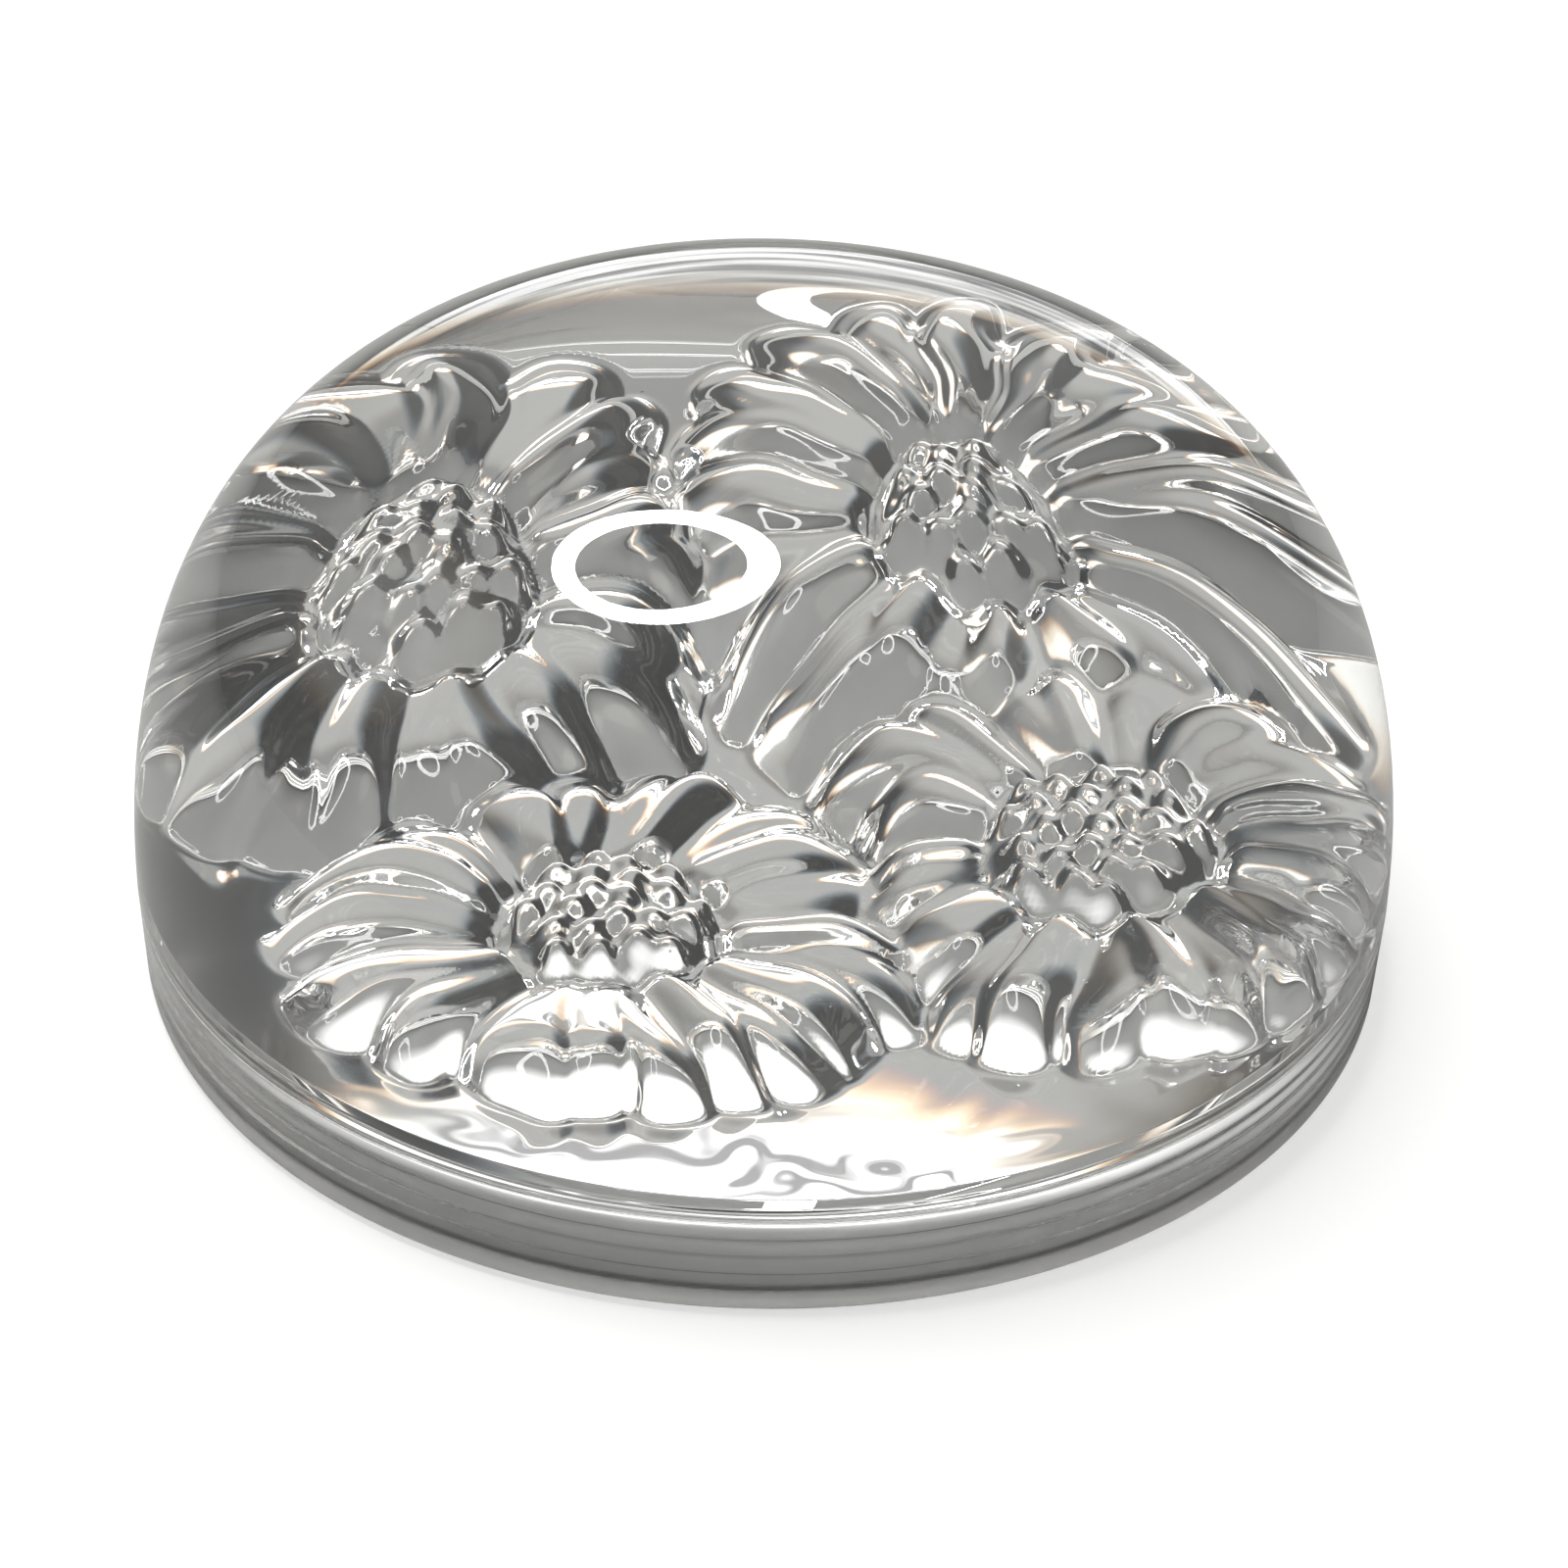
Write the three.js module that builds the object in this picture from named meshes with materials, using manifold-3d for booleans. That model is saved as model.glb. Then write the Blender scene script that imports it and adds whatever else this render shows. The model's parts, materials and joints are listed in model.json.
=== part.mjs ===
// Pressed crystal paperweight: a clear dome on a short upright foot, with four daisies
// sunk into its underside. Millimetres, +Z up, the origin at the middle of the resting plane.
//
// The real object is one casting, so the model is one closed solid. It is made the way the
// mould makes it: a turned body of glass, and a die whose daisies press their shape into it.

import * as THREE from 'three';
import { mergeVertices } from 'three/addons/utils/BufferGeometryUtils.js';
import Module from 'manifold-3d';

const wasm = await Module();
wasm.setup();

// ---- driving dimensions -------------------------------------------------------------------

// Outside of the glass
const BODY_DIAMETER = 90;
const BODY_HEIGHT = 45.6;
const FOOT_WALL_HEIGHT = 7.1;      // upright band between the foot and the dome
const FOOT_CHAMFER = 0.6;          // polished edge round the resting face
const DOME_LEAN = 2.2;             // degrees the dome leans in where it leaves the band
const DOME_SHOULDER = 29;          // how far the dome climbs before it turns over
const CROWN_RADIUS_REACH = 26;     // how far the low crown spreads before it turns down

// Underside
const FOOT_RING_WIDTH = 3.4;       // flat, ground resting face
const RECESS_DEPTH = 5;            // resting plane up to the flat ceiling of the recess
const RECESS_DRAFT = 0.5;          // how much the recess narrows on its way up

// Daisies pressed into the ceiling of the recess
const CEILING_BORDER = 6;          // plain ceiling left outside the longest petals
// each flower's place round the axis and turn on its stalk, in degrees, and how far it
// stands outside the shared circle
const DAISIES = [
  { angle: -19, outward: 0.7, turn: 4 },
  { angle: 53, outward: 0.4, turn: 13 },
  { angle: 148, outward: 3.3, turn: 0 },
  { angle: 240, outward: -1.1, turn: 9 },
];
const PETALS = 16;
const PETAL_REACH = 18;            // flower centre to petal tip
const PETAL_REACH_SWING = 1.1;     // petals are longer and shorter by this much
const PETAL_WIDTH = 5.6;
const PETAL_RISE = 3.9;            // crest of a petal above the ceiling
const PETAL_SINK = 1.1;            // petal's widest section, below the ceiling
const DISC_RADIUS = 5.6;
const DISC_RISE = 3.6;             // edge of the flower's disc above the ceiling
const DISC_CROWN = 1.7;            // how much the disc bulges in its middle
const DISC_DRAFT = 0.5;            // how much the disc narrows on its way up
const FLORET_RADIUS = 1.2;
const FLORET_SPACING = 2.9;
const FLORET_RINGS = 1;            // rings of florets round the middle one

// ---- fineness of the facets ---------------------------------------------------------------

const BODY_FACETS = 64;
const DOME_STEPS = 12;
const DISC_FACETS = 18;
const PETAL_FACETS = [10, 6];
const FLORET_FACETS = [6, 4];

// ---- sizes that follow --------------------------------------------------------------------

const BODY_RADIUS = BODY_DIAMETER / 2;
const RECESS_RADIUS = BODY_RADIUS - FOOT_CHAMFER - FOOT_RING_WIDTH;
const CEILING_RADIUS = RECESS_RADIUS - RECESS_DRAFT;
const DAISY_SPREAD = CEILING_RADIUS - CEILING_BORDER - PETAL_REACH;

// ---- helpers ------------------------------------------------------------------------------

const radians = THREE.MathUtils.degToRad;

// Turns a closed three.js geometry, moved by a matrix, into a solid that can be joined and cut.
function solid(geometry, matrix = new THREE.Matrix4()) {
  const bare = geometry.clone();
  bare.deleteAttribute('normal');
  bare.deleteAttribute('uv');
  bare.applyMatrix4(matrix);
  const merged = mergeVertices(bare, 1e-4);
  return new wasm.Manifold(new wasm.Mesh({
    numProp: 3,
    vertProperties: new Float32Array(merged.attributes.position.array),
    triVerts: new Uint32Array(merged.index.array),
  }));
}

// Turns a solid back into a three.js geometry.
function geometryOf(manifold) {
  const mesh = manifold.getMesh();
  const geometry = new THREE.BufferGeometry();
  geometry.setAttribute('position', new THREE.BufferAttribute(mesh.vertProperties, 3));
  geometry.setIndex(new THREE.BufferAttribute(mesh.triVerts, 1));
  geometry.computeVertexNormals();
  return geometry;
}

// A profile of [radius, height] points turned round the Z axis.
function turned(points, facets) {
  const profile = points.map(([radius, height]) => new THREE.Vector2(radius, height));
  const geometry = new THREE.LatheGeometry(profile, facets);
  geometry.rotateX(Math.PI / 2);
  return geometry;
}

// ---- turned body of glass -----------------------------------------------------------------

// From the middle of the recess ceiling, round the foot, up the band and over the dome.
function bodyOfGlass() {
  const lean = radians(DOME_LEAN);
  const dome = new THREE.CubicBezierCurve(
    new THREE.Vector2(BODY_RADIUS, FOOT_WALL_HEIGHT),
    new THREE.Vector2(
      BODY_RADIUS - DOME_SHOULDER * Math.sin(lean),
      FOOT_WALL_HEIGHT + DOME_SHOULDER * Math.cos(lean),
    ),
    new THREE.Vector2(CROWN_RADIUS_REACH, BODY_HEIGHT),
    new THREE.Vector2(0, BODY_HEIGHT),
  );
  const underside = [
    [0, RECESS_DEPTH],
    [CEILING_RADIUS, RECESS_DEPTH],
    [RECESS_RADIUS, 0],
    [BODY_RADIUS - FOOT_CHAMFER, 0],
    [BODY_RADIUS, FOOT_CHAMFER],
  ];
  const overDome = dome.getPoints(DOME_STEPS).map((point) => [point.x, point.y]);
  return solid(turned([...underside, ...overDome], BODY_FACETS));
}

// ---- the die ------------------------------------------------------------------------------

// One petal points along +X from the flower's centre: half of an egg standing on the ceiling.
function petal(reach) {
  const length = reach - DISC_RADIUS / 2;
  const egg = new THREE.SphereGeometry(1, ...PETAL_FACETS);
  egg.rotateZ(Math.PI / 2);
  const shape = new THREE.Matrix4().makeScale(
    length / 2,
    PETAL_WIDTH / 2,
    PETAL_RISE + PETAL_SINK,
  );
  shape.setPosition(reach - length / 2, 0, RECESS_DEPTH - PETAL_SINK);
  return solid(egg, shape);
}

// The disc in a flower's middle: a low drum with a bulging top, its foot inside the recess.
function disc() {
  const edge = RECESS_DEPTH + DISC_RISE;
  const rim = DISC_RADIUS - DISC_DRAFT;
  const drum = turned([
    [0, RECESS_DEPTH - PETAL_SINK],
    [DISC_RADIUS, RECESS_DEPTH - PETAL_SINK],
    [DISC_RADIUS, RECESS_DEPTH],
    [rim, edge],
    [rim * 0.6, edge + DISC_CROWN * 0.75],
    [0, edge + DISC_CROWN],
  ], DISC_FACETS);
  return solid(drum);
}

// Round florets stand on the disc in rings of six, twelve and so on.
function florets() {
  const bead = new THREE.SphereGeometry(FLORET_RADIUS, ...FLORET_FACETS);
  const edge = RECESS_DEPTH + DISC_RISE;
  const beads = [];
  for (let ring = 0; ring <= FLORET_RINGS; ring += 1) {
    const count = Math.max(1, ring * 6);
    const away = ring * FLORET_SPACING;
    const bulge = DISC_CROWN * (1 - (away / DISC_RADIUS) ** 2);
    for (let place = 0; place < count; place += 1) {
      const angle = (place + ring / 2) * (2 * Math.PI / count);
      const where = new THREE.Matrix4().makeTranslation(
        away * Math.cos(angle),
        away * Math.sin(angle),
        edge + bulge,
      );
      beads.push(solid(bead, where));
    }
  }
  return beads;
}

function daisy(turn) {
  const pieces = [disc(), ...florets()];
  for (let number = 0; number < PETALS; number += 1) {
    const reach = PETAL_REACH - PETAL_REACH_SWING * (1 + Math.sin(number * 2.4)) / 2;
    const angle = turn + number * 360 / PETALS;
    pieces.push(petal(reach).rotate([0, 0, angle]));
  }
  return wasm.Manifold.union(pieces);
}

function bouquet() {
  const daisies = DAISIES.map(({ angle, outward, turn }) => {
    const x = (DAISY_SPREAD + outward) * Math.cos(radians(angle));
    const y = (DAISY_SPREAD + outward) * Math.sin(radians(angle));
    return daisy(turn).translate([x, y, 0]);
  });
  return wasm.Manifold.union(daisies);
}

// ---- the part -----------------------------------------------------------------------------

const crystal = new THREE.MeshStandardMaterial({
  color: 0xf2f4f4,
  roughness: 0.02,
  metalness: 0,
  transparent: true,
  opacity: 0.35,
});

const paperweight = new THREE.Group();
const body = new THREE.Mesh(geometryOf(bodyOfGlass().subtract(bouquet())), crystal);
body.name = 'crystal_body';
paperweight.add(body);

export default paperweight;
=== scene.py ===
# %% [markdown]
# # A pressed crystal paperweight with four daisies
#
# The whole object is one casting of clear lead crystal: a dome on a short upright foot.
# Its underside is recessed, and four daisies are pressed up into the ceiling of the recess.
# The CAD frame says how wide and how high the glass is. This lesson builds the glass finely
# enough for light to bend through it as it should, gives it its finish, and lights it.

# %% Load the frame
import json
import math

import bpy
import numpy as np
from mathutils import Matrix, Vector

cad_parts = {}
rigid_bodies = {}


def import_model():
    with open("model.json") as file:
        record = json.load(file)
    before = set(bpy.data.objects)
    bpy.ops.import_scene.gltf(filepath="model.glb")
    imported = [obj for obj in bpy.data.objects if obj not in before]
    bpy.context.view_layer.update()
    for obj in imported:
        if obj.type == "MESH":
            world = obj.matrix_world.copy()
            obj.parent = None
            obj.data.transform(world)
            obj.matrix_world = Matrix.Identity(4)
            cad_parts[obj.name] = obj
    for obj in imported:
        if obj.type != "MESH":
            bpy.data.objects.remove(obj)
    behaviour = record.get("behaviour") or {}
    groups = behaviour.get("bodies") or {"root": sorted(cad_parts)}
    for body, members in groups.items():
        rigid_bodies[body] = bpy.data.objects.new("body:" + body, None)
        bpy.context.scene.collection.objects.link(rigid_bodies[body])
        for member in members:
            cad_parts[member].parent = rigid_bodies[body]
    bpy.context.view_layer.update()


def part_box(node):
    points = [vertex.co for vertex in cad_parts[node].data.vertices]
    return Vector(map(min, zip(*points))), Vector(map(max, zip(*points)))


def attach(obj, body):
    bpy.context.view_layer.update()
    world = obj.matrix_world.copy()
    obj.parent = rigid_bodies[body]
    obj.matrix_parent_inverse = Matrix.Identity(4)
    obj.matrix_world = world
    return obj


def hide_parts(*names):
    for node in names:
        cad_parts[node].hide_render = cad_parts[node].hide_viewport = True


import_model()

MM = 0.001
low, high = (np.array(corner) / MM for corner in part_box("crystal_body"))
body_radius = (high[0] - low[0]) / 2
body_height = high[2] - low[2]
print(f"glass: {2 * body_radius:.1f} mm across, {body_height:.1f} mm high")

# %% [markdown]
# ## The outline that is turned
#
# The outside of the glass is round, so one outline carried round the axis makes it.
# The outline could be drawn by hand, point by point. A few named sizes and one curve are
# easier to change, and a curve has no flat spots, which clear glass would show at once.
# Every edge has a small round, because fire-polished or ground glass is never sharp.

# %% Sizes of the outline, in millimetres
foot_wall_height = 7.1
foot_chamfer = 0.6
foot_ring_width = 3.4
recess_depth = 5.0
recess_draft = 0.5
dome_lean = math.radians(2.2)
dome_shoulder = 29.0
crown_reach = 26.0

recess_radius = body_radius - foot_chamfer - foot_ring_width
ceiling_radius = recess_radius - recess_draft


# %% Rounding a corner and sampling the dome
def rounded(before, corner, after, radius, steps=4):
    """A small curve in place of a corner: a quadratic from a point one radius before it to
    a point one radius after it, pulled towards the corner itself."""
    before, corner, after = (np.array(point, float) for point in (before, corner, after))
    start = corner + (before - corner) / np.linalg.norm(before - corner) * radius
    end = corner + (after - corner) / np.linalg.norm(after - corner) * radius
    t = np.linspace(0, 1, steps)[:, None]
    return (1 - t) ** 2 * start + 2 * t * (1 - t) * corner + t**2 * end


def dome_curve(steps):
    """The side of the dome as a cubic curve: it leaves the band almost upright and reaches
    the middle of the crown lying flat. The last point, on the axis, is left out."""
    start = np.array([body_radius, foot_wall_height])
    climb = dome_shoulder * np.array([-math.sin(dome_lean), math.cos(dome_lean)])
    over = np.array([crown_reach, body_height])
    top = np.array([0.0, body_height])
    t = np.linspace(0, 1, steps + 1)[:-1, None]
    return ((1 - t) ** 3 * start + 3 * t * (1 - t) ** 2 * (start + climb)
            + 3 * t**2 * (1 - t) * over + t**3 * top)


# %% The wall of the recess, with its turning marks
turning_mark_height = 1.3
turning_mark_depth = 0.09
wall_points = 16
wall_low, wall_high = 0.6, recess_depth - 0.9
wall_heights = np.linspace(wall_high, wall_low, wall_points)
wall_radii = recess_radius - recess_draft * wall_heights / recess_depth
wall_radii = wall_radii + turning_mark_depth * np.sin(2 * np.pi * wall_heights / turning_mark_height)
recess_wall = np.column_stack([wall_radii, wall_heights])
print(f"recess wall: marks {turning_mark_depth} mm deep, {turning_mark_height} mm apart")

# %% The outline itself, from the ceiling of the recess to the crown
edge_round = 0.35
flower_field = 37.6
dome_steps = 44

ceiling_start = (flower_field + 0.6, recess_depth)
ceiling_middle = (ceiling_radius - 1.0, recess_depth)
ceiling_edge = (ceiling_radius, recess_depth)
ring_inside = (recess_radius, 0.0)
ring_outside = (body_radius - foot_chamfer, 0.0)
band_foot = (body_radius, foot_chamfer)
band_top = (body_radius, foot_wall_height)
band_straight = [(body_radius, 1.5), (body_radius, foot_wall_height - 0.4)]

outline = np.vstack([
    [ceiling_start, ceiling_middle],
    rounded(ceiling_start, ceiling_edge, ring_inside, 2 * edge_round),
    recess_wall,
    rounded(ceiling_edge, ring_inside, ring_outside, edge_round),
    rounded(ring_inside, ring_outside, band_foot, edge_round / 2),
    rounded(ring_outside, band_foot, band_top, edge_round / 2),
    band_straight,
    dome_curve(dome_steps),
])
print(f"outline: {len(outline)} points, recess {2 * recess_radius:.1f} mm across")

# %% [markdown]
# ## Daisies pressed into the underside
#
# On the real object a die with four raised daisies shapes the soft glass from below.
# The daisies could be modelled one petal at a time and cut out, but cuts leave slivers,
# and slivers glitter in glass. Here the whole underside is one height over the plane:
# each petal and each disc is a formula, and the highest of them wins at every point.

# %% Where the daisies stand and how big they are, in millimetres
daisy_centres = {"right": (16.3, -5.6), "back": (10.2, 13.5), "left": (-16.8, 10.5), "front": (-7.7, -13.3)}
petal_rise = 3.7
disc_radii = {"right": 5.6, "back": 4.5, "left": 5.0, "front": 5.3}
disc_rise = 3.1
disc_crown = 1.1

# %% The petals of each daisy: angle in degrees, reach, width and sideways bend in millimetres
petals = {
    "right": [
        (12, 18, 5.4, 0.4), (-5, 18, 5.2, -0.4), (-21, 19, 5.6, -1.2), (-37, 19.5, 5.2, -1.4),
        (-52, 19, 5, -0.8), (-67, 17.5, 5, 0.5), (-83, 17, 5.6, 0.6), (-100, 16.5, 5.2, -0.6),
        (-117, 16, 5.4, 0.6), (-135, 14.5, 4.8, 0.4), (-154, 13.5, 4.6, 0.8), (-172, 12.5, 4.4, 0),
        (164, 12.5, 4.4, -0.6), (145, 15.5, 5.4, 1.4), (127, 14.5, 4.4, 1.2), (111, 14, 4.2, 0.3),
        (96, 14.5, 4.2, 0), (80, 15, 4.8, -0.3), (64, 15.5, 4.8, -0.8), (47, 16, 5, -0.4), (29, 17, 5.2, 0.6),
    ],
    "back": [
        (88, 18, 4.4, 0.2), (105, 18, 4.8, 0.6), (122, 18, 5.6, 1), (140, 18, 5.6, 1.2),
        (156, 16.5, 4.8, 0.4), (174, 16, 6.8, 0.6), (193, 15.5, 5.2, -0.6), (209, 14.5, 4.8, 0.6),
        (225, 14.5, 5.8, 1), (243, 12.5, 4.8, 0), (260, 11.5, 4.6, 0.4), (277, 11, 4.6, 0),
        (294, 11.5, 4.6, -0.4), (311, 13, 4.8, -0.6), (328, 15, 5, -1.2), (356, 17, 5.6, -5.5),
        (13, 15.5, 4.6, -1.2), (27, 15.5, 4.4, 0), (41, 15.5, 4.4, 0.3), (56, 16, 5.4, 0),
        (72, 17.5, 4.6, -0.3),
    ],
    "left": [
        (86, 16.5, 4.8, 0.5), (68, 16.5, 5.6, 0), (50, 15, 4.6, -0.4), (34, 14, 4.6, 0), (17, 14, 4.8, 0.4),
        (0, 14.5, 5.2, 0), (343, 14.5, 5, -0.4), (325, 15.5, 6.8, 1.2), (306, 14.5, 5, 0.4),
        (291, 15, 5.8, 1), (273, 14.5, 5, 0), (256, 15, 5.2, -0.6), (239, 15.5, 4.8, 0.6),
        (224, 17, 5.2, 0.8), (208, 17.5, 5.4, 1), (192, 16.5, 4.8, 0), (175, 16, 5.2, -0.3),
        (157, 15.5, 4.8, 0.3), (140, 15.5, 5, 0), (122, 15.5, 4.8, -0.3), (104, 15.5, 4.8, 0.2),
    ],
    "front": [
        (98, 14.5, 4, 0.2), (81, 14.5, 4.6, 0), (66, 15, 4.6, -0.4), (50, 16.5, 5.6, 0.4), (35, 16, 5, -0.3),
        (17, 16.5, 5.8, 0.3), (2, 16.5, 4.6, -0.4), (-12, 17, 5.2, -1.4), (-28, 16, 5.2, -1),
        (-45, 16, 5, 0.6), (-62, 15, 4.6, 0), (-78, 15.5, 4.6, 0.4), (-95, 14.5, 5, -0.3),
        (-114, 15.5, 6.4, 0.8), (-138, 17, 5.2, 0.6), (-161, 18.5, 7.8, 0.3), (174, 18, 5.8, 0.2),
        (155, 17, 5.2, -0.4), (137, 16, 4.8, 0.3), (117, 14.5, 5, 0),
    ],
}
print(f"petals: {[len(rows) for rows in petals.values()]}")


# %% Joining heights softly
def soft_max(a, b, blend):
    """The larger of two heights, with the crease between them rounded over `blend`."""
    share = np.clip(0.5 + 0.5 * (a - b) / blend, 0, 1)
    return b + (a - b) * share + blend * share * (1 - share)


def soft_step(value, start, end):
    """Goes from 0 at start to 1 at end along a smooth S."""
    t = np.clip((value - start) / (end - start), 0, 1)
    return t * t * (3 - 2 * t)


# %% What every petal shares
petal_root_end = 0.2
petal_tip_start = 0.52
petal_squareness = 3.2
petal_fullness = 0.7
flute_height = 0.03
flutes_across = 2.4
print(f"petal: root round over {petal_root_end:.0%} of its length, tip from {petal_tip_start:.0%} on")


# %% One petal
def petal(along, across, root, reach, width, bend, tilt, rise):
    """Height of one petal above the ceiling, a pod with round ends. `s` runs from 0 at its
    root to 1 at its tip and `u` from -1 to 1 across it. One minus a power of u, less a power
    of the distance past each end, gives an arch that is nearly flat along the middle and
    steep at its edge. The tilt lifts one long edge over the neighbour's."""
    s = (along - root) / (reach - root)
    half_width = width / 2 * (0.56 + 0.54 * np.sin(np.pi / 2 * np.clip(s / 0.72, 0, 1)))
    u = (across - bend * np.clip(s, 0, 1.2) ** 2) / half_width
    root_end = np.clip((petal_root_end - s) / petal_root_end, 0, None) ** 2.4
    tip_end = np.clip((s - petal_tip_start) / (1 - petal_tip_start), 0, None) ** 2.2
    arch = np.clip(1 - np.abs(u) ** petal_squareness - root_end - tip_end, 0, None) ** petal_fullness
    flutes = flute_height * np.cos(flutes_across * np.pi * u)
    flutes = flutes * soft_step(s, 0.2, 0.5) * soft_step(arch, 0.3, 0.8)
    crest = rise * (0.82 + 0.18 * np.sin(np.pi * np.clip(s, 0, 1) ** 0.8) + tilt * u)
    return np.where(arch > 0, crest * arch + flutes, 0.0)


# %% What every disc shares
floret_radius = 0.95
floret_height = 1.1
florets_for_size = 0.8
golden_angle = math.pi * (3 - math.sqrt(5))
print(f"florets: {2 * floret_radius:.1f} mm wide, turned by {math.degrees(golden_angle):.1f} degrees each")


# %% One disc with its florets
def disc(x, y, disc_radius):
    """Height of the flower's disc above the ceiling: a drum with steep sides and a bulging
    top, and on it round florets set on a spiral, each turned by the golden angle from the
    last and a square root further out, so that they spread evenly."""
    away = np.hypot(x, y)
    drum = disc_rise * (1 - soft_step(away, disc_radius - 0.5, disc_radius + 0.7))
    bulge = disc_crown * np.clip(1 - (away / (disc_radius + 0.3)) ** 2, 0, None) ** 0.75
    height = drum + bulge
    florets = round(florets_for_size * disc_radius**2)
    number = np.arange(florets)
    spiral = (disc_radius - 0.5) * np.sqrt((number + 0.4) / florets)
    turn = number * golden_angle
    near = away < disc_radius + 0.6
    gap_x = x[near][:, None] - spiral * np.cos(turn)
    gap_y = y[near][:, None] - spiral * np.sin(turn)
    gap = np.hypot(gap_x, gap_y)
    bead = floret_height * np.sqrt(np.clip(1 - (gap.min(axis=1) / floret_radius) ** 2, 0, None))
    height[near] += bead
    return height


# %% How the pressed glass strays from the die
slow_flow = 0.38
quick_flow = 0.09
slow_ripple = 0.05
quick_ripple = 0.03
petal_lean = 0.26
petal_unevenness = 0.35
crease_round = 0.25
press_softness = 0.28
print(f"glass strays up to {slow_flow + quick_flow:.2f} mm sideways, creases round over {crease_round} mm")


# %% The whole underside
def flowed(x, y):
    """Pushes each point a little sideways along slow waves, crossed and of unlike lengths, as
    hot glass flows while it is pressed. No two petals then stay alike."""
    across = slow_flow * np.sin(0.52 * y + 0.9 * np.sin(0.33 * x))
    across = across + quick_flow * np.sin(1.33 * y + 0.4 * x + 2.1)
    along = slow_flow * np.sin(0.47 * x + 1.1 * np.sin(0.31 * y) + 1.0)
    along = along + quick_flow * np.sin(1.21 * x - 0.5 * y)
    return x + across, y + along


def underside(x, y):
    """Height of every petal and disc over the flat ceiling of the recess: at each point the
    highest of them, softly joined to the rest."""
    x, y = flowed(x, y)
    relief = np.zeros_like(x)
    for daisy, (name, (centre_x, centre_y)) in enumerate(daisy_centres.items()):
        dx = x - centre_x
        dy = y - centre_y
        for number, (angle, reach, width, bend) in enumerate(petals[name]):
            turn = math.radians(angle)
            along = dx * math.cos(turn) + dy * math.sin(turn)
            across = dy * math.cos(turn) - dx * math.sin(turn)
            tilt = petal_lean * math.sin(number * 2.4 + daisy)
            rise = petal_rise + petal_unevenness * math.sin(number * 2.9 + daisy)
            one = petal(along, across, disc_radii[name] - 1, reach, width, bend, tilt, rise)
            relief = soft_max(relief, one, crease_round)
        relief = soft_max(relief, disc(dx, dy, disc_radii[name]), crease_round)
    return relief


def ripples(x, y):
    """Shallow waves in the flat ceiling in front of the daisies, where the glass cooled last.
    They die away towards the daisies and towards the wall of the recess."""
    slow = np.sin(0.62 * x + 1.7 * np.sin(0.41 * y + 0.23 * x) + 0.8)
    quick = np.sin(1.17 * x - 0.74 * y + 1.3 * np.sin(0.53 * x)) * np.sin(0.31 * x + 1.9)
    here = soft_step(-y, 14, 26) * (1 - soft_step(np.hypot(x, y), 34, flower_field - 0.3))
    return (slow_ripple * slow + quick_ripple * quick) * here


# %% Softening, as the press leaves it
def softened(heights, spacing, spread):
    """Averages a square field of heights with a bell-shaped weight `spread` millimetres wide,
    first along one side of the square and then along the other."""
    reach = int(3 * spread / spacing)
    weight = np.exp(-0.5 * (np.arange(-reach, reach + 1) * spacing / spread) ** 2)
    weight = weight / weight.sum()
    for side in range(2):
        moved = [np.roll(heights, step, axis=side) for step in range(-reach, reach + 1)]
        heights = sum(share * one for share, one in zip(weight, moved))
    return heights


def sampled(field, start, spacing, x, y):
    """Reads a square field of heights at any point, straight between its four neighbours."""
    a, b = (x - start) / spacing, (y - start) / spacing
    i, j = a.astype(int), b.astype(int)
    p, q = a - i, b - j
    return (field[i, j] * (1 - p) * (1 - q) + field[i + 1, j] * p * (1 - q)
            + field[i, j + 1] * (1 - p) * q + field[i + 1, j + 1] * p * q)


# %% [markdown]
# ## One closed mesh
#
# The flowers need small, even cells, so they stand on a square grid bent into a disc.
# Round it, rings follow the outline over the foot and up to the crown. The grid has four
# cells where the rings have one, and a row of triangles joins the two.

# %% A square grid bent into a disc
def disc_grid(cells, radius):
    """A square grid bent into a disc: each square ring of the grid becomes a circle, and
    its points are spread evenly round it."""
    ticks = np.linspace(-1, 1, cells + 1)
    a, b = np.meshgrid(ticks, ticks, indexing="ij")
    wide = np.abs(a) >= np.abs(b)
    with np.errstate(divide="ignore", invalid="ignore"):
        sideways = np.pi / 4 * b / a + np.pi * (a < 0)
        endways = np.pi / 2 - np.pi / 4 * a / b + np.pi * (b < 0)
        turn = np.where(wide, sideways, endways)
    turn = np.nan_to_num(turn)
    away = radius * np.where(wide, np.abs(a), np.abs(b))
    return (away * np.cos(turn)).ravel(), (away * np.sin(turn)).ravel()


# %% Heights of the underside, worked out on a fine square field and read off at the grid
cells = 272
segments = cells
grid_x, grid_y = disc_grid(cells, flower_field)
field_spacing = 0.15
field_start = -39.0
ticks = np.arange(field_start, -field_start, field_spacing)
field_x, field_y = np.meshgrid(ticks, ticks, indexing="ij")
field = underside(field_x, field_y) + ripples(field_x, field_y)
field = softened(field, field_spacing, press_softness)
grid_z = recess_depth + sampled(field, field_start, field_spacing, grid_x, grid_y)
print(f"underside: {grid_z.size} points, relief up to {grid_z.max():.2f} mm above the table")

# %% Points of the whole body
ring_turns = -np.pi / 4 + 2 * np.pi * np.arange(segments) / segments
ring_x = outline[:, :1] * np.cos(ring_turns)
ring_y = outline[:, :1] * np.sin(ring_turns)
ring_z = np.repeat(outline[:, 1:], segments, axis=1)
points = np.vstack([
    np.column_stack([grid_x, grid_y, grid_z]),
    np.column_stack([ring_x.ravel(), ring_y.ravel(), ring_z.ravel()]),
    [[0, 0, body_height]],
])

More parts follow.
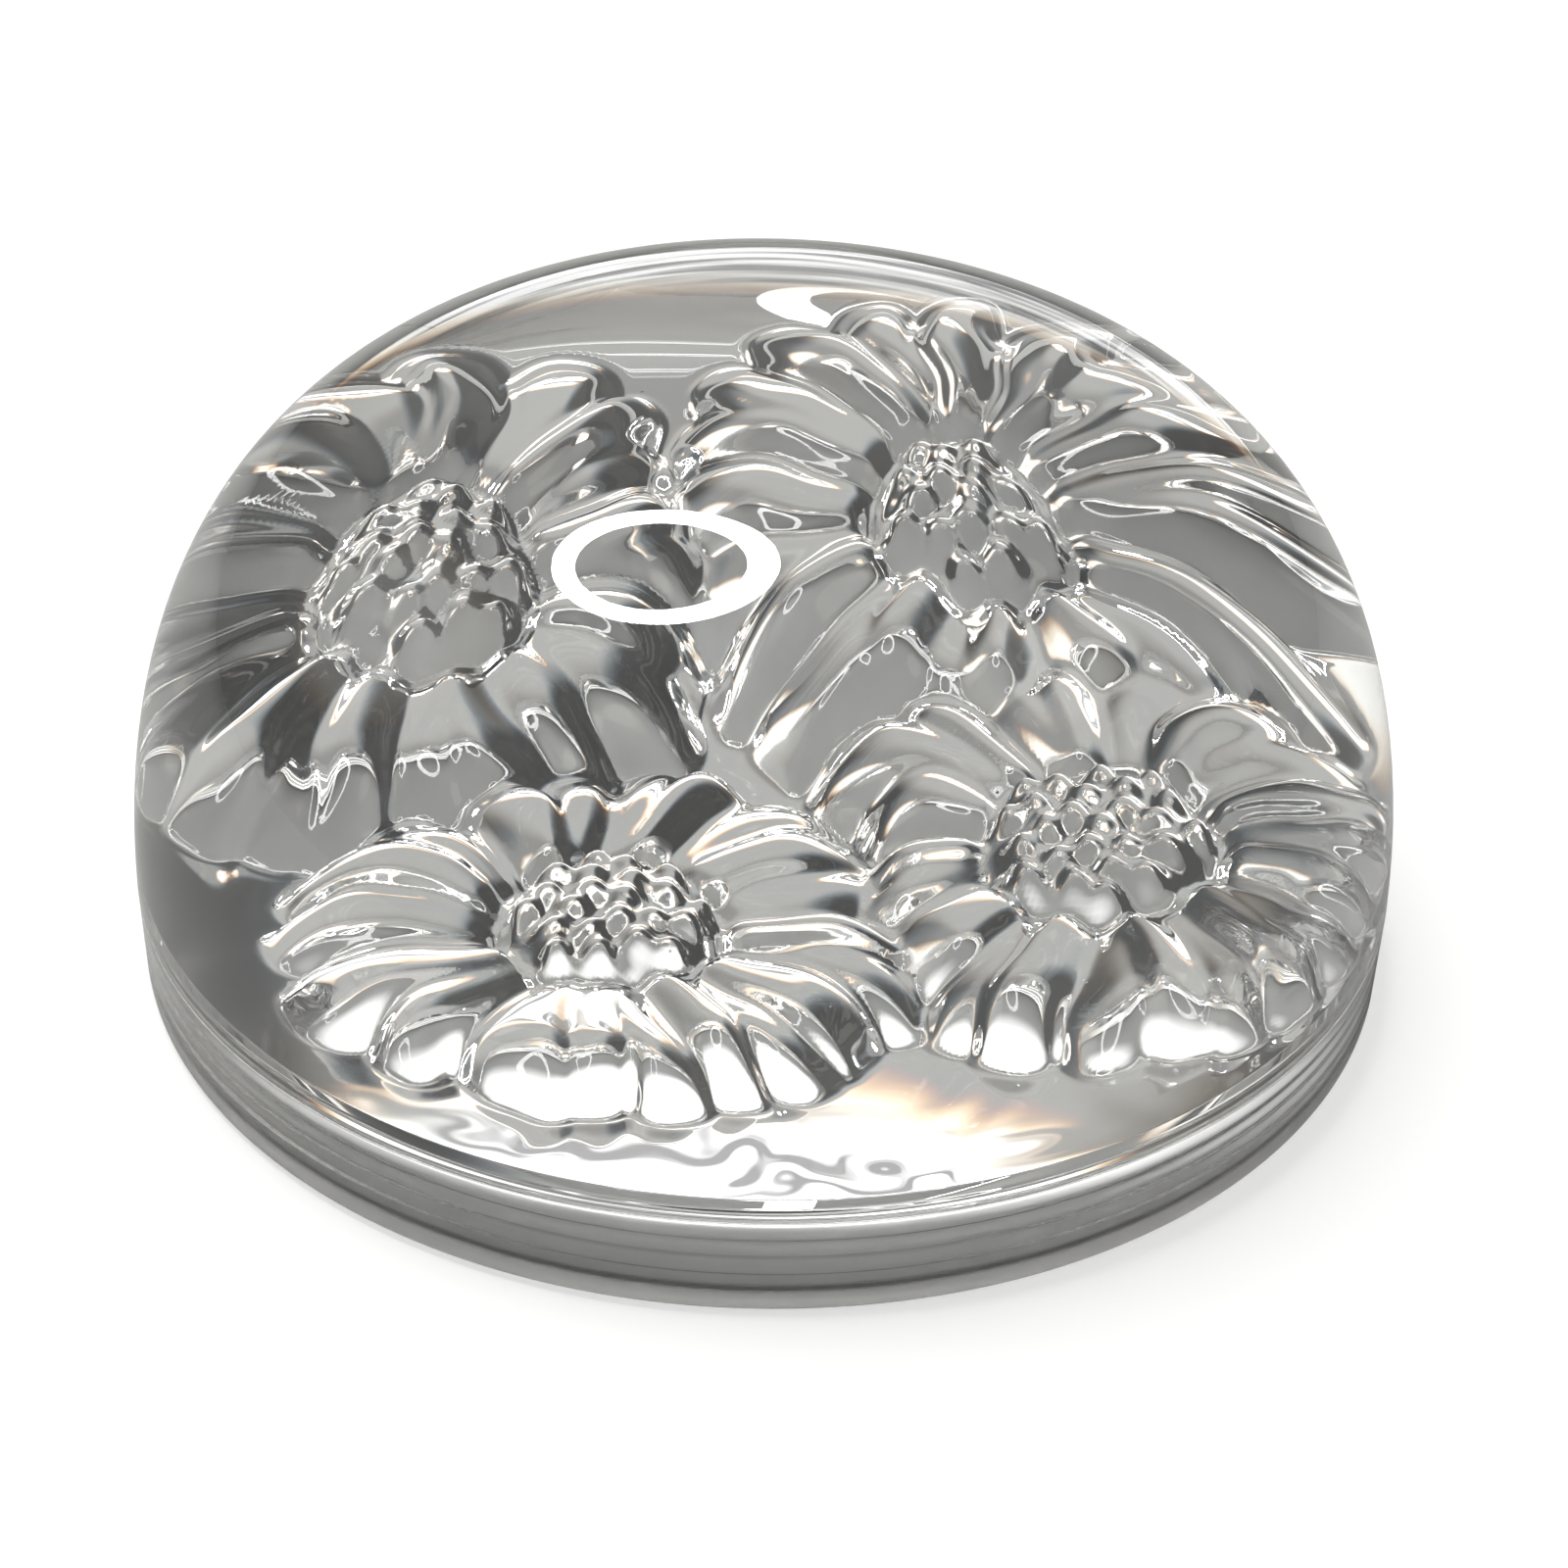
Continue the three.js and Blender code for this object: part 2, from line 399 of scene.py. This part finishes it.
# %% Faces of the whole body
index = np.arange((cells + 1) ** 2).reshape(cells + 1, cells + 1)
grid_faces = np.stack([index[:-1, :-1], index[:-1, 1:], index[1:, 1:], index[1:, :-1]], axis=-1)
grid_faces = grid_faces.reshape(-1, 4)

rim = np.concatenate([index[-1, :-1], index[:0:-1, -1], index[0, :0:-1], index[:-1, 0]])
first_ring = index.size + np.arange(segments)
f0, f1, f2, f3 = (rim[step::4] for step in range(4))
f4, c0, c1 = np.roll(f0, -1), first_ring, np.roll(first_ring, -1)
joint_faces = np.vstack([
    np.column_stack(triangle)
    for triangle in ((f0, f1, c0), (f1, f2, c0), (f2, c1, c0), (f2, f3, c1), (f3, f4, c1))
])

rings = index.size + np.arange(len(outline) * segments).reshape(len(outline), segments)
beside = np.roll(rings, -1, axis=1)
ring_faces = np.stack([rings[:-1], beside[:-1], beside[1:], rings[1:]], axis=-1).reshape(-1, 4)
crown = np.full(segments, len(points) - 1)
crown_faces = np.column_stack([rings[-1], beside[-1], crown])

# %% The mesh
mesh = bpy.data.meshes.new("crystal_glass")
faces = grid_faces.tolist() + joint_faces.tolist() + ring_faces.tolist() + crown_faces.tolist()
mesh.from_pydata((points * MM).tolist(), [], faces)
mesh.polygons.foreach_set("use_smooth", np.ones(len(mesh.polygons), bool))
mesh.update()
glass = bpy.data.objects.new("crystal_glass", mesh)
bpy.context.scene.collection.objects.link(glass)
triangles = 2 * (len(grid_faces) + len(ring_faces)) + len(joint_faces) + len(crown_faces)
print(f"glass body: {len(points)} points, {triangles} triangles")

# %% [markdown]
# ## The finish of the crystal
#
# Lead crystal is clear with a trace of cool grey, and bends light more than window glass.
# The dome is fire-polished, so it has no roughness at all. The foot was ground flat on a
# wheel and stays matt, and it is tinted dark grey: painted shade for the dark band where the
# glass meets the floor. The turned band above it carries faint lines, and a few specks of
# dust lie on everything. All of it follows the object's own height and place.

# %% A short way to add a node
def node(tree, kind, inputs, **settings):
    """Adds a node. The settings are its own options, and each input gets a value or a link."""
    new = tree.nodes.new(kind)
    for name, value in settings.items():
        setattr(new, name, value)
    for key, value in inputs.items():
        if isinstance(value, bpy.types.NodeSocket):
            tree.links.new(value, new.inputs[key])
        else:
            new.inputs[key].default_value = value
    return new


# %% Crystal
crystal = bpy.data.materials.new("lead_crystal")
crystal.use_nodes = True
tree = crystal.node_tree
shader = tree.nodes["Principled BSDF"]
shader.inputs["Transmission Weight"].default_value = 1.0
shader.inputs["IOR"].default_value = 1.545
place = node(tree, "ShaderNodeTexCoord", {}).outputs["Object"]
height = node(tree, "ShaderNodeSeparateXYZ", {"Vector": place}).outputs["Z"]
mesh.materials.append(crystal)
print("crystal: bends light by", shader.inputs["IOR"].default_value)

# %% The matt ground foot and the lines of the turned band
foot_roughness = 0.42
line_roughness = 0.10
line_stretch = (9, 9, 1500)
matt_up_to, clear_from = 0.25, 0.7
band_fade = 0.5
ground = node(tree, "ShaderNodeMapRange", {
    "Value": height, "From Min": clear_from * MM, "From Max": matt_up_to * MM, "To Max": foot_roughness,
}, interpolation_type="SMOOTHSTEP")
in_band = node(tree, "ShaderNodeMapRange", {
    "Value": height, "From Min": foot_wall_height * MM, "From Max": (foot_wall_height - band_fade) * MM,
    "To Max": line_roughness,
})
stretched = node(tree, "ShaderNodeVectorMath", {0: place, 1: line_stretch}, operation="MULTIPLY")
turned_lines = node(tree, "ShaderNodeTexNoise", {"Vector": stretched.outputs["Vector"], "Scale": 1})
lines = node(tree, "ShaderNodeMapRange", {
    "Value": turned_lines.outputs["Fac"], "From Min": 0.56, "From Max": 0.64,
})
lines = node(tree, "ShaderNodeMath", {
    0: lines.outputs["Result"], 1: in_band.outputs["Result"],
}, operation="MULTIPLY")
matt = node(tree, "ShaderNodeMath", {
    0: lines.outputs["Value"], 1: ground.outputs["Result"],
}, operation="MAXIMUM")
tree.links.new(matt.outputs["Value"], shader.inputs["Roughness"])
print(f"foot ground to a roughness of {foot_roughness}, lines on the band {line_roughness}")

# %% Dust, the painted shade of the ground foot, and the cool trace in the glass
dust_spacing = 5.0
dust_size = 0.16
dust_left_out = 0.72
cloud_scale = 45
clear_grey = (0.975, 0.982, 0.978, 1)
clear_bright = (0.992, 0.994, 0.99, 1)
# Dark grey of the dust specks, and also painted shade on the ground foot for the dark band at its bottom edge
dust_and_foot_shade_grey = (0.13, 0.13, 0.12, 1)
dust = node(tree, "ShaderNodeTexVoronoi", {"Vector": place, "Scale": 1 / (dust_spacing * MM)})
speck = node(tree, "ShaderNodeMapRange", {
    "Value": dust.outputs["Distance"], "From Min": dust_size / dust_spacing,
    "From Max": 0.5 * dust_size / dust_spacing,
})
chosen = node(tree, "ShaderNodeMath", {
    0: dust.outputs["Color"], 1: dust_left_out,
}, operation="GREATER_THAN")
speck = node(tree, "ShaderNodeMath", {
    0: speck.outputs["Result"], 1: chosen.outputs["Value"],
}, operation="MULTIPLY")
cloud = node(tree, "ShaderNodeTexNoise", {"Vector": place, "Scale": cloud_scale, "Detail": 1})
clear = node(tree, "ShaderNodeMix", {
    "Factor": cloud.outputs["Fac"], "A": clear_grey, "B": clear_bright,
}, data_type="RGBA")
# The ground foot takes the same dark grey in full: painted shade for the dark band where the glass meets the
# floor
painted_foot_shade = node(tree, "ShaderNodeMath", {
    0: ground.outputs["Result"], 1: 1 / foot_roughness,
}, operation="MULTIPLY")
grey = node(tree, "ShaderNodeMath", {
    0: speck.outputs["Value"], 1: painted_foot_shade.outputs["Value"],
}, operation="MAXIMUM")
tint = node(tree, "ShaderNodeMix", {
    "Factor": grey.outputs["Value"], "A": clear.outputs[2], "B": dust_and_foot_shade_grey,
}, data_type="RGBA")
tree.links.new(tint.outputs[2], shader.inputs["Base Color"])
print(f"dust: specks of {2 * dust_size} mm, at most one in {dust_spacing} mm")

# %% [markdown]
# ## The place of the glass in the frame
#
# The fine glass stands in for the plain solid of the CAD frame, which is then hidden. It
# has no joint to follow, so it rides on the one body there is, and it is made of crystal.

# %% Tie the glass to the frame
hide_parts("crystal_body")
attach(glass, "root")
print("glass: stands in for crystal_body")

# %% [markdown]
# ## The floor
#
# The paperweight stands on plain pale paper. The thick glass gathers lamp light into a soft
# pool under its front half, brighter than the paper round it. Tracing that pool takes very
# many rays, so the paper itself glows a little there, for rays that come through the glass.
# Seen directly, the paper is washed to nearly white, as in a studio picture.

# %% Floor
floor_size = 2.0
floor_gap = 0.00002
floor_mesh = bpy.data.meshes.new("floor")
half = floor_size / 2
corners = [(-half, -half, 0), (half, -half, 0), (half, half, 0), (-half, half, 0)]
floor_mesh.from_pydata(corners, [], [(0, 1, 2, 3)])
floor = bpy.data.objects.new("floor", floor_mesh)
floor.location.z = -floor_gap
bpy.context.scene.collection.objects.link(floor)
print(f"floor: {floor_size} m square")

# %% Paper of the floor
paper = bpy.data.materials.new("pale_paper")
paper.use_nodes = True
tree = paper.node_tree
paper_shader = tree.nodes["Principled BSDF"]
paper_shader.inputs["Base Color"].default_value = (0.40, 0.40, 0.39, 1)
paper_shader.inputs["Roughness"].default_value = 0.9
paper_shader.inputs["Specular IOR Level"].default_value = 0.1
paper_shader.inputs["Emission Color"].default_value = (1, 1, 1, 1)
print("paper: grey of", round(paper_shader.inputs["Base Color"].default_value[0], 2))

# %% The pool of light under the glass, and the wash of the paper seen directly
pool_middle = (0.0015, -0.012, 0)
pool_squash = (0.5, 1, 1)
pool_bright, pool_edge = 0.009, 0.020
pool_light = 1.0
wash_light = 0.64
floor_place = node(tree, "ShaderNodeTexCoord", {}).outputs["Object"]
narrowed = node(tree, "ShaderNodeVectorMath", {0: floor_place, 1: pool_squash}, operation="MULTIPLY")
away = node(tree, "ShaderNodeVectorMath", {
    0: narrowed.outputs["Vector"], 1: pool_middle,
}, operation="DISTANCE")
pool = node(tree, "ShaderNodeMapRange", {
    "Value": away.outputs["Value"], "From Min": pool_edge, "From Max": pool_bright, "To Max": pool_light,
}, interpolation_type="SMOOTHSTEP")
seen = node(tree, "ShaderNodeLightPath", {}).outputs["Is Camera Ray"]
glow = node(tree, "ShaderNodeMix", {"Factor": seen, "A": pool.outputs["Result"], "B": wash_light})
tree.links.new(glow.outputs[0], paper_shader.inputs["Emission Strength"])
floor_mesh.materials.append(paper)
print(f"paper: pool of light {pool_light}, wash {wash_light}")

# %% [markdown]
# ## The room
#
# Clear glass shows nothing but the room around it. A plain white room would leave it blank,
# so this one has a grey ceiling, dark walls, a pale wall and a white card behind, and the
# dark shape of a person in front. Each is a round patch of the sky, and its edge has a thin
# rim of colour, as light through thick glass has. Seen directly, the room is a pale backdrop.

# %% One patch of the room
world = bpy.data.worlds.new("grey_room")
bpy.context.scene.world = world
world.use_nodes = True
tree = world.node_tree
look = node(tree, "ShaderNodeTexCoord", {}).outputs["Generated"]
rim_of_colour = np.array([0.6, 0.0, -0.6])


def patch(azimuth, elevation, inside, outside):
    """How much of a round patch lies in a direction, for red, green and blue: 1 within
    `inside` degrees of its middle, falling along a smooth S to 0 at `outside` degrees. The
    angle between two directions is read from their dot product, which is its cosine."""
    azimuth, elevation = math.radians(azimuth), math.radians(elevation)
    flat = math.cos(elevation)
    middle = (math.sin(azimuth) * flat, math.cos(azimuth) * flat, math.sin(elevation))
    closeness = node(tree, "ShaderNodeVectorMath", {0: look, 1: middle}, operation="DOT_PRODUCT")
    return node(tree, "ShaderNodeMapRange", {
        6: closeness.outputs["Value"], 7: np.cos(np.radians(outside + rim_of_colour)),
        8: np.cos(np.radians(inside + rim_of_colour)),
    }, data_type="FLOAT_VECTOR", interpolation_type="SMOOTHSTEP").outputs["Vector"]


def painted(light, share, value):
    """The light of the room, moved towards `value` by the share of a patch."""
    step = node(tree, "ShaderNodeVectorMath", {0: value, 1: light}, operation="SUBTRACT")
    return node(tree, "ShaderNodeVectorMath", {
        0: share, 1: step.outputs["Vector"], 2: light,
    }, operation="MULTIPLY_ADD").outputs["Vector"]


# %% Patches of the room: azimuth from the back, elevation, inner and outer size, brightness
patch_tint = np.array([1.0, 1.0, 0.97])
room_patches = {
    "walls": (0, -90, 100, 122, 0.08),
    "back wall": (0, 24, 16, 38, 0.50),
    "dark corner": (60, 24, 20, 38, 0.07),
    "person": (180, 42, 28, 46, 0.03),
    "left window": (-80, 35, 12, 20, 1.3),
    "right window": (100, 50, 8, 14, 1.3),
}
room = node(tree, "ShaderNodeCombineXYZ", {"X": 0.32, "Y": 0.32, "Z": 0.31}).outputs["Vector"]
for azimuth, elevation, inside, outside, brightness in room_patches.values():
    room = painted(room, patch(azimuth, elevation, inside, outside), brightness * patch_tint)
print(f"room: {len(room_patches)} patches")

# %% The white card, unevenly lit in level streaks
card_azimuth, card_elevation = 4, -12
card_inside, card_outside = 24, 31
card_dim, card_bright = 0.5, 2.7
streak_stretch = (3, 3, 16)
streaked = node(tree, "ShaderNodeVectorMath", {0: look, 1: streak_stretch}, operation="MULTIPLY")
streaks = node(tree, "ShaderNodeTexNoise", {
    "Vector": streaked.outputs["Vector"], "Scale": 1.3, "Detail": 2,
})
white_card = node(tree, "ShaderNodeMapRange", {
    "Value": streaks.outputs["Fac"], "From Min": 0.38, "From Max": 0.58,
    "To Min": card_dim, "To Max": card_bright,
})
card = patch(card_azimuth, card_elevation, card_inside, card_outside)
room = painted(room, card, white_card.outputs["Result"])
print(f"white card: {2 * card_outside} degrees across, brightness {card_dim} to {card_bright}")

# %% The pale backdrop
backdrop_light = (0.93, 0.93, 0.93)
seen = node(tree, "ShaderNodeLightPath", {}).outputs["Is Camera Ray"]
backdrop = node(tree, "ShaderNodeMix", {
    "Factor": seen, "A": room, "B": backdrop_light,
}, data_type="VECTOR")
tree.links.new(backdrop.outputs[1], tree.nodes["Background"].inputs["Color"])
print("backdrop:", backdrop_light[0])

# %% [markdown]
# ## The lamp and the camera
#
# A ring lamp hangs above and a little behind, and its mirror image is the white ring on the
# dome. It could be a light of Blender's own, but those have no hole in the middle, so a flat
# ring that glows is made instead. The camera looks down at the glass from in front.

# %% Ring lamp
lamp_centre = Vector((-0.137, 0.083, 0.6))
lamp_outer, lamp_inner = 0.150, 0.112
lamp_steps = 96
turns = 2 * np.pi * np.arange(lamp_steps) / lamp_steps
circle = np.column_stack([np.cos(turns), np.sin(turns), np.zeros(lamp_steps)])
lamp_points = np.vstack([circle * lamp_inner, circle * lamp_outer])
inner, outer = np.arange(lamp_steps), np.arange(lamp_steps) + lamp_steps
lamp_faces = np.column_stack([inner, np.roll(inner, -1), np.roll(outer, -1), outer])
lamp_mesh = bpy.data.meshes.new("ring_lamp")
lamp_mesh.from_pydata(lamp_points.tolist(), [], lamp_faces.tolist())
lamp = bpy.data.objects.new("ring_lamp", lamp_mesh)
lamp.location = lamp_centre
bpy.context.scene.collection.objects.link(lamp)
print(f"ring lamp: {2 * lamp_outer} m across, {lamp_centre.z} m up")

# %% Glow of the lamp
lamp_strength = 45
lamp_glow = bpy.data.materials.new("lamp_glow")
lamp_glow.use_nodes = True
glow_shader = lamp_glow.node_tree.nodes["Principled BSDF"]
glow_shader.inputs["Base Color"].default_value = (0, 0, 0, 1)
glow_shader.inputs["Emission Color"].default_value = (1, 1, 1, 1)
glow_shader.inputs["Emission Strength"].default_value = lamp_strength
lamp_mesh.materials.append(lamp_glow)
print("lamp glow:", lamp_strength)

# %% Camera
view_height = math.radians(32.0)
view_distance = 0.18456
view_roll = 0.022
lens_length = 58.5
framing = (0.0121, -0.0227)
aim = Vector((0, 0, 0.012))
back = Vector((0, -math.cos(view_height), math.sin(view_height)))
right = Vector((1, 0, 0))
up = back.cross(right)
rolled_right = right * math.cos(view_roll) + up * math.sin(view_roll)
rolled_up = up * math.cos(view_roll) - right * math.sin(view_roll)
camera_data = bpy.data.cameras.new("camera")
camera = bpy.data.objects.new("camera", camera_data)
bpy.context.scene.collection.objects.link(camera)
turned = Matrix((rolled_right, rolled_up, back)).transposed().to_4x4()
camera.matrix_world = Matrix.Translation(aim + back * view_distance) @ turned
camera_data.sensor_width = 36
camera_data.lens = lens_length
camera_data.shift_x, camera_data.shift_y = framing
camera_data.clip_start = 0.01
bpy.context.scene.camera = camera
print(f"camera: {math.degrees(view_height):.0f} degrees above the floor")

# %% [markdown]
# ## Tones and bounces
#
# A ray that enters the glass meets many surfaces before it leaves: the dome, a petal, the
# ceiling of the recess, the floor and back again. With too few bounces it ends as black, and
# the daisies fill with holes. The plain tone curve keeps the whites of the glass white.

# %% Tones, and how many surfaces a ray may pass
bounces = 24
bpy.context.scene.view_settings.view_transform = "Standard"
bpy.context.scene.cycles.max_bounces = bounces
bpy.context.scene.cycles.transmission_bounces = bounces
bpy.context.scene.cycles.glossy_bounces = bounces
print(f"rays may pass {bounces} surfaces")
